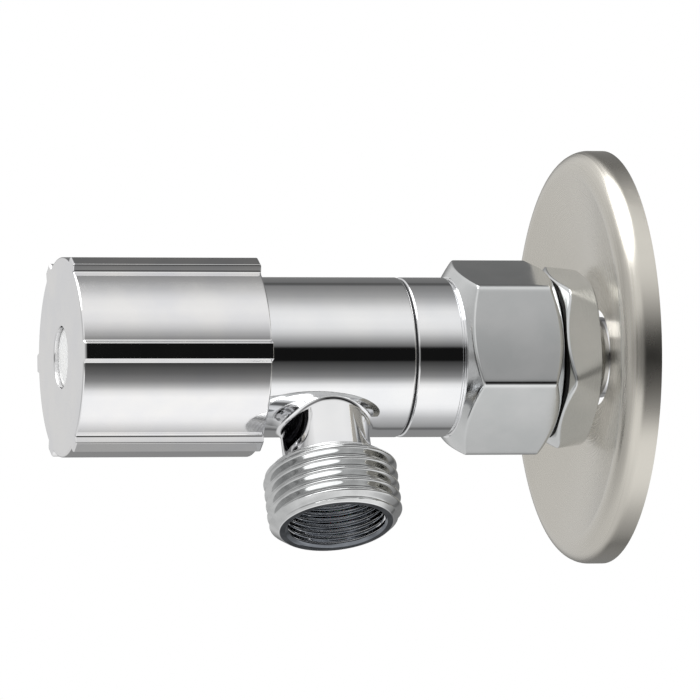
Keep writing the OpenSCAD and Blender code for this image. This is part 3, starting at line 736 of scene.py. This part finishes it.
def inlet_connector():
    """One brass piece: hexagon, relief groove, round collar and the spigot for the body."""
    corner_r = CONNECTOR_FLAT_R / math.cos(math.radians(30)) + 0.15
    tube_hole_r = TUBE_R + 0.1
    wire_r = SPIGOT_R - 0.6
    groove_r = SPIGOT_R - 1.2
    start = CONNECTOR_START + 0.1
    hex_end = CONNECTOR_START + 15.5
    land_r = BARREL_R - 0.15
    relief_r = land_r - 0.3
    relief = (hex_end + 0.25, hex_end + 0.6)
    spigot = [
        (PARTING, BARREL_R, 0.3), (PARTING, SPIGOT_R, 0.1),
        (PARTING + 1.0, SPIGOT_R), (PARTING + 1.0, wire_r),
        (PARTING + 2.1, wire_r), (PARTING + 2.1, SPIGOT_R)]
    for groove in (SPIGOT_END - 2.85, SPIGOT_END - 1.05):
        spigot += [
            (groove - 0.75, SPIGOT_R), (groove - 0.75, groove_r),
            (groove + 0.75, groove_r), (groove + 0.75, SPIGOT_R)]
    tube_end = knob_end("inlet_tube") + 0.05
    points = outline([
        (start, SOCKET_R, 0.1, 0.6), (start, CONNECTOR_FLAT_R - 0.3, 0, FINE),
        (start + 1.8, corner_r, 0.3, FINE), (start + 3, corner_r, 0, 0.8),
        (hex_end - 3.5, corner_r, 0, FINE), (hex_end - 2.1, corner_r, 0.3, FINE),
        (hex_end, BARREL_R + 0.1, 0.06), (hex_end, land_r, 0.06),
        (relief[0], land_r, 0.05), (relief[0], relief_r, 0.05),
        (relief[1], relief_r, 0.05), (relief[1], BARREL_R, 0.25)] + spigot + [
        (SPIGOT_END, SPIGOT_R, 0.3), (SPIGOT_END, WATERWAY_R, 0.1),
        (tube_end, WATERWAY_R), (tube_end, tube_hole_r), (OLIVE_MIDDLE + 2.6, tube_hole_r),
        (OLIVE_MIDDLE, TUBE_R + 1.75), (OLIVE_MIDDLE, SOCKET_R)])
    piece = skin("inlet_connector_visual", turned_rows(points, hexagon_angles()), "chrome_plate")
    mill(piece, points, start, hex_end, CONNECTOR_FLAT_R)
    # Painted shade: near-black on the connector's end face towards the gland nut and in its bore, in
    # the gap between the hexagons.
    paint(piece, "gap_painted_shade", lambda station, radius: (
        (station < OLIVE_MIDDLE) & ((radius < SOCKET_R + 0.05) | (station < start + 0.01))))
    finish_piece(piece, "inlet", "chrome_plate", "inlet_connector")


def gland_nut():
    """Thin hexagon with a long chamfer towards the wall, and its shank."""
    shank_r = SOCKET_R - 0.1
    flat_r = 13.0
    ridge_r = flat_r + 1.75
    hex_end = CONNECTOR_START - HEX_GAP - 0.1
    bore_r = TUBE_R + 0.25
    points = outline([
        (GLAND_START, bore_r, 0.25, 0.6), (GLAND_START, flat_r + 0.9, 0.3, FINE),
        (GLAND_START + 4.3, ridge_r, 0.25, FINE), (hex_end, flat_r - 0.2, 0.1), (hex_end, shank_r),
        (GLAND_END, shank_r, 0.4), (GLAND_END, bore_r, 0.2)])
    piece = skin("gland_nut_visual", turned_rows(points, hexagon_angles()), "chrome_plate")
    mill(piece, points, GLAND_START, hex_end, flat_r)
    # Painted shade: near-black on the gland nut's end and shank towards the connector, in the gap
    # between the hexagons.
    paint(piece, "gap_painted_shade", lambda station, radius: station > hex_end - 0.01)
    finish_piece(piece, "gland_nut", "chrome_plate", "gland_nut")


def inlet_tube():
    """Thin plated tube, cut square, with the rolled groove that marks the wall plane."""
    end = knob_end("inlet_tube")
    start = wall_end("inlet_tube")
    groove_r = TUBE_R - 0.25
    groove = (-0.8, -0.2)
    points = outline([
        (start, WATERWAY_R, 0.15), (start, TUBE_R, 0.2),
        (groove[0], TUBE_R, 0.1), (groove[0], groove_r, 0.08), (groove[1], groove_r, 0.08),
        (groove[1], TUBE_R, 0.1), (end, TUBE_R, 0.2), (end, WATERWAY_R, 0.15)])
    piece = skin("inlet_tube_visual", turned_rows(points, even_angles(160)), "chrome_plate")
    finish_piece(piece, "inlet", "chrome_plate", "inlet_tube")


def wall_flange():
    """Spun sheet: dished middle, rolled shoulder and an edge that rests on the wall."""
    edge_r = top_radius("wall_flange")
    depth = knob_end("wall_flange")
    sheet = 0.6
    shoulder = 3.2
    hole_r = TUBE_R + 1.2
    middle = np.array((depth - shoulder, edge_r - shoulder))
    hole = np.array((0.7, hole_r))
    gap = middle - hole
    tilt = math.atan2(gap[0], gap[1]) + math.asin(shoulder / np.linalg.norm(gap))
    turn = math.pi / 2 + tilt
    bend_points = 40

    def on_bend(edge_angle, radius):
        return (middle[0] + radius * math.sin(edge_angle), middle[1] + radius * math.cos(edge_angle))

    front_bend = [on_bend(a, shoulder) for a in np.linspace(0, turn, bend_points)]
    back_bend = [on_bend(a, shoulder - sheet) for a in np.linspace(turn, 0, bend_points)]
    back_hole = (hole[0] - sheet / math.cos(tilt), hole_r)
    dish = outline([front_bend[-1], (*hole, 0), back_hole, back_bend[0]], closed=False)[1:-1]
    points = np.array(
        [(0, edge_r)] + front_bend + list(dish) + back_bend + [(0, edge_r - sheet)])
    piece = skin("wall_flange_visual", turned_rows(points, even_angles(288)), "satin_nickel_sheet")
    finish_piece(piece, "wall_flange", "satin_nickel_sheet", "wall_flange")


# ---------------------------------------------------------------- body

def outlet_rows(points, angles):
    """Rings of an outline turned about the outlet's axis; stations run down from the valve's axis."""
    along, radius = points[:, :1], points[:, 1:]
    z = -along + 0 * angles
    x = -OUTLET_AXIS + radius * np.cos(angles)
    return np.stack([x, radius * np.sin(angles), z], axis=-1) * MM


def unit(vectors):
    return vectors / np.linalg.norm(vectors, axis=-1, keepdims=True)


def neck_root_rows(angles, fillet, sink):
    """Rings where the neck flares into the barrel, as a ball rolled round the corner leaves them."""
    centre_r = NECK_R + fillet
    lift = BARREL_R + fillet - sink
    y = centre_r * np.sin(angles)
    centre = np.stack([centre_r * np.cos(angles), y, -np.sqrt(lift ** 2 - y ** 2)], axis=-1)
    across = np.array((0, 1, 1))
    to_barrel = unit(-centre * across)
    to_neck = -np.stack([np.cos(angles), np.sin(angles), 0 * angles], axis=-1)
    between = np.arccos(np.clip((to_barrel * to_neck).sum(-1, keepdims=True), -1, 1))
    rings = []
    for share in np.linspace(0, 1, 12):
        on_ball = np.sin((1 - share) * between) * to_barrel + np.sin(share * between) * to_neck
        rings.append(centre + fillet * on_ball / np.sin(between))
    rings = np.array(rings)
    deeper = 1 - 1.0 / BARREL_R
    buried = rings[0] * (1, deeper, deeper)
    return np.concatenate([buried[None], rings]) + np.array((-OUTLET_AXIS, 0, 0))


def barrel():
    """Round barrel with the swivel socket and the cartridge chamber."""
    chamber_r = 9.0
    bonnet_r = 10.0
    socket_floor = SPIGOT_END + 0.1
    chamber_floor = socket_floor + 1.5
    chamber_top = BODY_END - 8.9
    wire_start = BODY_START + 0.7
    wire_end = wire_start + 1.1
    points = outline([
        (BODY_START, SOCKET_R, 0.1), (BODY_START, BARREL_R, 0.45), (BODY_END, BARREL_R, 0.3),
        (BODY_END, bonnet_r + 0.6, 0.1), (BODY_END - 1.6, bonnet_r + 0.6), (BODY_END - 1.6, bonnet_r),
        (chamber_top, bonnet_r), (chamber_top, chamber_r), (chamber_floor, chamber_r, 0.3),
        (chamber_floor, WATERWAY_R), (socket_floor, WATERWAY_R), (socket_floor, SOCKET_R),
        (wire_end, SOCKET_R), (wire_end, SOCKET_R + 0.6),
        (wire_start, SOCKET_R + 0.6), (wire_start, SOCKET_R)])
    return skin("valve_body_visual", turned_rows(points, even_angles(224)), "chrome_plate")


def cut_thread(piece, amounts, side, crest_r, pitch):
    """Cuts a thread into the rings whose amounts are over 0, at its full depth where they are 1."""
    run_tree(piece, CUT_THREAD, "thread", amounts, {
        "Axis X": -OUTLET_AXIS * MM, "Side": side, "Crest Radius": crest_r * MM,
        "Pitch": pitch * MM, "Softness": 0.2, "Material": MATERIALS["chrome_plate"]})


def outlet():
    """Neck, flared into the barrel, and a collar with a thread outside and inside."""
    face_r = 8.9
    collar_top = OUTLET_REACH - 10.2
    thread_top = collar_top + 1.0
    lead = (OUTLET_THREAD_R - face_r) * 0.85
    shoulder_r = OUTLET_THREAD_R - 1.2
    thread_step = 0.085
    mouth_r = OUTLET_BORE_R + 0.5
    seat = (collar_top - 1.8, collar_top + 0.8)
    angles = even_angles(240)
    root = neck_root_rows(angles, 1.0, 0.02)
    neck_start = -root[-1, :, 2].min()
    outside = outline([
        (neck_start + 0.05, NECK_R), (collar_top - 0.5, NECK_R, 0.2), (collar_top, shoulder_r, 0.15),
        (collar_top + 0.3, shoulder_r, 0.1, thread_step),
        (thread_top, OUTLET_THREAD_R, 0, thread_step),
        (OUTLET_REACH - lead, OUTLET_THREAD_R, 0, thread_step),
        (OUTLET_REACH, face_r, 0.15), (OUTLET_REACH, mouth_r, 0.12, thread_step),
        (OUTLET_REACH - 0.5, OUTLET_BORE_R, 0, 0.07), (seat[1], OUTLET_BORE_R),
        (seat[0], NECK_BORE_R), (14, NECK_BORE_R)], closed=False)
    inner_r = BARREL_R - 1
    bore_y = NECK_BORE_R * np.sin(angles)
    last = np.stack([NECK_BORE_R * np.cos(angles) - OUTLET_AXIS, bore_y,
                     -np.sqrt(inner_r ** 2 - bore_y ** 2)], axis=-1)
    rows = np.concatenate([root * MM, outlet_rows(outside, angles), last[None] * MM])
    piece = skin("outlet", rows, "chrome_plate")

    # each ring's distance down and radius, with none for those that aren't plain circles
    along = np.full(len(rows), -1.0)
    along[len(root):-1] = outside[:, 0]
    radius = np.zeros(len(rows))
    radius[len(root):-1] = outside[:, 1]
    outer = (radius > face_r - 0.1) & (along > collar_top + 0.2)
    outer_depth = np.clip((along - collar_top - 0.5) / 0.9, 0, 1) * outer
    pipe_pitch = 25.4 / 14
    cut_thread(piece, outer_depth, 1.0, OUTLET_THREAD_R, pipe_pitch)
    inner = (radius < mouth_r) & (radius > OUTLET_BORE_R - 0.01) & (along > collar_top)
    inner_depth = np.clip((along - collar_top - 0.8) / 1.0, 0, 1) * inner
    fine_pitch = 1.0
    cut_thread(piece, inner_depth, -1.0, OUTLET_BORE_R, fine_pitch)

    def on_thread(down, out):
        return (down > collar_top + 0.05) & (out > face_r + 0.1)

    def in_bore(down, out):
        wall = np.interp(down, seat, (NECK_BORE_R, OUTLET_BORE_R)) + 0.15
        in_mouth = (down > OUTLET_REACH - 0.6) & (down < OUTLET_REACH + 0.1) & (out < mouth_r + 0.6)
        return (out < wall) | in_mouth

    paint(piece, "thread_chrome", on_thread, round_outlet)
    # Painted shade: the bore and the mouth take a dull plate colour, darkened for the bore's depth.
    paint(piece, "bore_plate_painted_shade", in_bore, round_outlet)
    return piece


def valve_body():
    """Barrel and outlet in one, with the waterway drilled from one into the other."""
    piece = barrel()
    branch = outlet()
    for material in branch.data.materials[1:]:
        piece.data.materials.append(material)
    combine(piece, branch, "UNION")
    drill_r = NECK_BORE_R - 0.1
    top, end = 5, 13.5
    drill_outline = np.array([(top, 0), (top, drill_r), (end, drill_r), (end, 0)])
    drill_rows = outlet_rows(drill_outline, even_angles(96))
    drill = skin("drill", drill_rows, "chrome_plate", closed=False)
    merge_poles(drill)
    combine(piece, drill, "DIFFERENCE")
    finish_piece(piece, "valve_body", "chrome_plate", "valve_body")


# ---------------------------------------------------------------- handle

def handle():
    """Hollow ribbed knob: six flat-topped ribs, a splined hub and a recess for the button."""
    core_r = 15.5
    skirt_r = BARREL_R + 0.5
    mouth_r = core_r - 1.3
    recess_r = 4.8
    recess_floor = HANDLE_FACE - 3.8
    socket_end = recess_floor - 2.2
    cavity_end = HANDLE_FACE - 5.2
    hub_start = wall_end("stop_washer") + 1.85
    spline_r = 4.06
    hub_r = 7.0
    screw_r = 2.2
    mouth_end = HANDLE_LIP + 3
    points = outline([
        (HANDLE_FACE, recess_r, 0.25, 1.0), (HANDLE_FACE, core_r, 0.35, 1.0),
        (HANDLE_LIP, core_r, 0.35), (HANDLE_LIP, mouth_r, 0.3), (mouth_end, mouth_r, 0.4),
        (mouth_end, skirt_r, 0.2),
        (cavity_end, skirt_r, 0.5), (cavity_end, hub_r, 0.5), (hub_start, hub_r, 0.2),
        (hub_start, spline_r, 0.2), (socket_end, spline_r), (socket_end, screw_r),
        (recess_floor, screw_r), (recess_floor, recess_r, 0.1)])
    # close together where the ribs' flanks are, 3 to 9 degrees from a rib's middle
    pitch = np.radians(np.concatenate([
        np.arange(-30, -9, 1.5), np.arange(-9, -3, 0.15), np.arange(-3, 3, 0.5),
        np.arange(3, 9, 0.15), np.arange(9, 30, 1.5)]))
    angles = (RIB_TURN + pitch[None, :] + even_angles(6)[:, None]).ravel()
    piece = skin("handle_visual", turned_rows(points, angles), "knob_chrome")
    ribbed = np.clip((points[:, 1] - (core_r - 1.1)) / 0.9, 0, 1)
    rib_h = 1.15
    half_top = 2.35 / 2
    flank = math.radians(72)
    cove_r = 0.4
    half_foot = (half_top + (rib_h - cove_r * (1 - math.cos(flank))) / math.tan(flank)
                 + cove_r * math.sin(flank))
    run_tree(piece, RAISE_RIBS, "ribbed", ribbed, {
        "Rib Count": 6.0, "First Rib": RIB_TURN, "Height": rib_h * MM, "Half Foot": half_foot * MM,
        "Flank Angle": flank, "Cove Radius": cove_r * MM, "Edge Softness": 0.3 * MM,
        "Material": MATERIALS["knob_chrome"]})
    # Painted shade: the knob's hollow inside takes a dark zinc colour.
    paint(piece, "cast_zinc_painted_shade", lambda station, radius: (
        (radius < mouth_r + 0.1) & (radius > recess_r + 0.1)
        & (station > HANDLE_LIP + 0.1) & (station < cavity_end + 0.1)))
    finish_piece(piece, "handle", "knob_chrome", "handle")


def handle_button():
    """Domed push-in button with a soft edge."""
    start = wall_end("handle_button")
    end = knob_end("handle_button")
    radius = top_radius("handle_button")
    side_end = start + 0.9
    dome_h = end - side_end
    dome = [(side_end + dome_h * math.cos(a), radius * math.sin(a))
            for a in np.linspace(1.45, 0, 16)]
    points = np.array([(start, 0), (start, radius - 0.2), (start + 0.05, radius - 0.05),
                       (start + 0.2, radius)] + dome)
    piece = skin("handle_button_visual", turned_rows(points, even_angles(96)), "button_plastic",
                 closed=False)
    merge_poles(piece)
    finish_piece(piece, "handle", "button_plastic", "handle_button")


inlet_connector()
gland_nut()
inlet_tube()
wall_flange()
valve_body()
handle()
handle_button()

# The inner pieces keep their CAD shapes and take their slots' materials
for part in frame["record"]["subparts"]:
    cad_node = frame["nodes"][part["node"]]
    cad_node.data.materials.clear()
    cad_node.data.materials.append(MATERIALS[part["material_slot"]])


# ---------------------------------------------------------------- studio

def grey(level):
    """Linear RGBA of an sRGB grey from 0 to 255."""
    return linear("#" + f"{level:02X}" * 3)


def light_tent():
    """A white tent lit from above and below, with a black strip level with the camera.

    Brightness goes in bands round the valve's axis: 0 degrees is level towards -Y, 90 is up.
    The end that the knob faces is paler, in front and behind.
    """
    # pairs of degrees and grey level
    bands = [
        (-180, 134), (-158, 134), (-155, 104), (-151, 104), (-147, 145), (-125, 186), (-113, 220),
        (-105, 240), (-97, 247), (-73, 247), (-66, 228), (-60, 176), (-54, 130), (-45, 97),
        (-33, 58), (-31, 18), (-13, 18), (-10.5, 100), (1.4, 172), (7.3, 200), (16.5, 225),
        (29, 233), (42, 228), (50, 214), (60, 186), (72, 157), (86, 137), (98, 124), (103, 84),
        (108, 84), (112, 108), (180, 134)]
    end_bands = [
        (-180, 205), (-120, 215), (-80, 244), (-48, 235), (-38, 120), (-12, 120), (0, 225),
        (60, 240), (100, 225), (140, 208), (180, 205)]
    world = bpy.data.worlds.new("light_tent")
    bpy.context.scene.world = world
    world.use_nodes = True
    tree = world.node_tree
    tree.nodes.clear()
    direction = add(tree, "ShaderNodeTexCoord").outputs["Generated"]
    split = add(tree, "ShaderNodeSeparateXYZ", {0: direction}).outputs
    towards = compute(tree, "MULTIPLY", split[1], -1.0)
    angle = compute(tree, "ARCTAN2", split[2], towards)
    place = add(tree, "ShaderNodeMapRange", {0: angle, 1: -math.pi, 2: math.pi, 3: 0.0, 4: 1.0})
    ramps = []
    for stops in (bands, end_bands):
        ramps.append(add(tree, "ShaderNodeValToRGB", {0: place}))
        set_stops(ramps[-1], [((a + 180) / 360, grey(level)) for a, level in stops])
    at_end = add(tree, "ShaderNodeMapRange", {0: split[0], 1: 0.1, 2: -0.15, 3: 0.0, 4: 1.0})
    light = add(tree, "ShaderNodeMix", {0: at_end, 6: ramps[0], 7: ramps[1]}, data_type="RGBA")
    far_end = add(tree, "ShaderNodeMapRange", {0: split[0], 1: -0.6, 2: -0.9, 3: 0.0, 4: 0.7})
    light = add(tree, "ShaderNodeMix", {0: far_end, 6: light.outputs[2], 7: grey(165)},
                data_type="RGBA")
    tent = add(tree, "ShaderNodeBackground", {0: light.outputs[2], 1: 1.1})
    white = add(tree, "ShaderNodeBackground", {0: grey(255), 1: 1.0})
    seen = add(tree, "ShaderNodeLightPath").outputs["Is Camera Ray"]
    mixed = add(tree, "ShaderNodeMixShader", {0: seen, 1: tent, 2: white})
    add(tree, "ShaderNodeOutputWorld", {0: mixed})


def fill_light():
    """Broad soft light from the camera's side, for the plastic pieces and the floor."""
    data = bpy.data.lights.new("fill", "SUN")
    data.energy = 1.6
    data.angle = math.radians(60)
    data.specular_factor = 0
    lamp = bpy.data.objects.new("fill", data)
    lamp.rotation_euler = (math.radians(25), math.radians(-20), 0)
    bpy.context.scene.collection.objects.link(lamp)


def pale_paper():
    """Matt white studio paper, with faint cloudy patches."""
    material, tree, place = new_material("pale_paper")
    patches = grains(tree, place, 30, 3)
    return shade(material, {
        "Color": tints(tree, patches, (0.3, "#F2F2F1"), (0.7, "#F6F6F5"))}, "ShaderNodeBsdfDiffuse")


def floor():
    """Pale matt floor, far below, so that it shows only in views from above."""
    size, depth = 20, -1.0
    mesh = bpy.data.meshes.new("studio_floor")
    mesh.from_pydata([(-size, -size, depth), (size, -size, depth), (size, size, depth),
                      (-size, size, depth)], [], [(0, 1, 2, 3)])
    mesh.materials.append(pale_paper())
    ground = bpy.data.objects.new("studio_floor", mesh)
    ground.visible_glossy = False
    bpy.context.scene.collection.objects.link(ground)


def camera():
    """Long lens, below and to the knob's side, turned so that the valve's axis is level."""
    azimuth, elevation = math.radians(-16.7), math.radians(-25.5)
    distance = 1.2
    aim_station = 40.9
    aim_above = 1.14
    back = Vector((math.sin(azimuth) * math.cos(elevation), -math.cos(azimuth) * math.cos(elevation),
                   math.sin(elevation)))
    right = (Vector((1, 0, 0)) - back * back.x).normalized()
    up = back.cross(right)
    aim = Vector((-aim_station * MM, 0, 0)) + up * aim_above * MM
    data = bpy.data.cameras.new("camera")
    data.lens = 395
    data.sensor_width = 36
    data.clip_start = 0.1
    data.clip_end = 100
    eye = bpy.data.objects.new("camera", data)
    axes = Matrix((right, up, back)).transposed().to_4x4()
    eye.matrix_world = Matrix.Translation(aim + back * distance) @ axes
    bpy.context.scene.collection.objects.link(eye)
    bpy.context.scene.camera = eye


light_tent()
fill_light()
floor()
camera()
bpy.context.scene.view_settings.view_transform = "Standard"
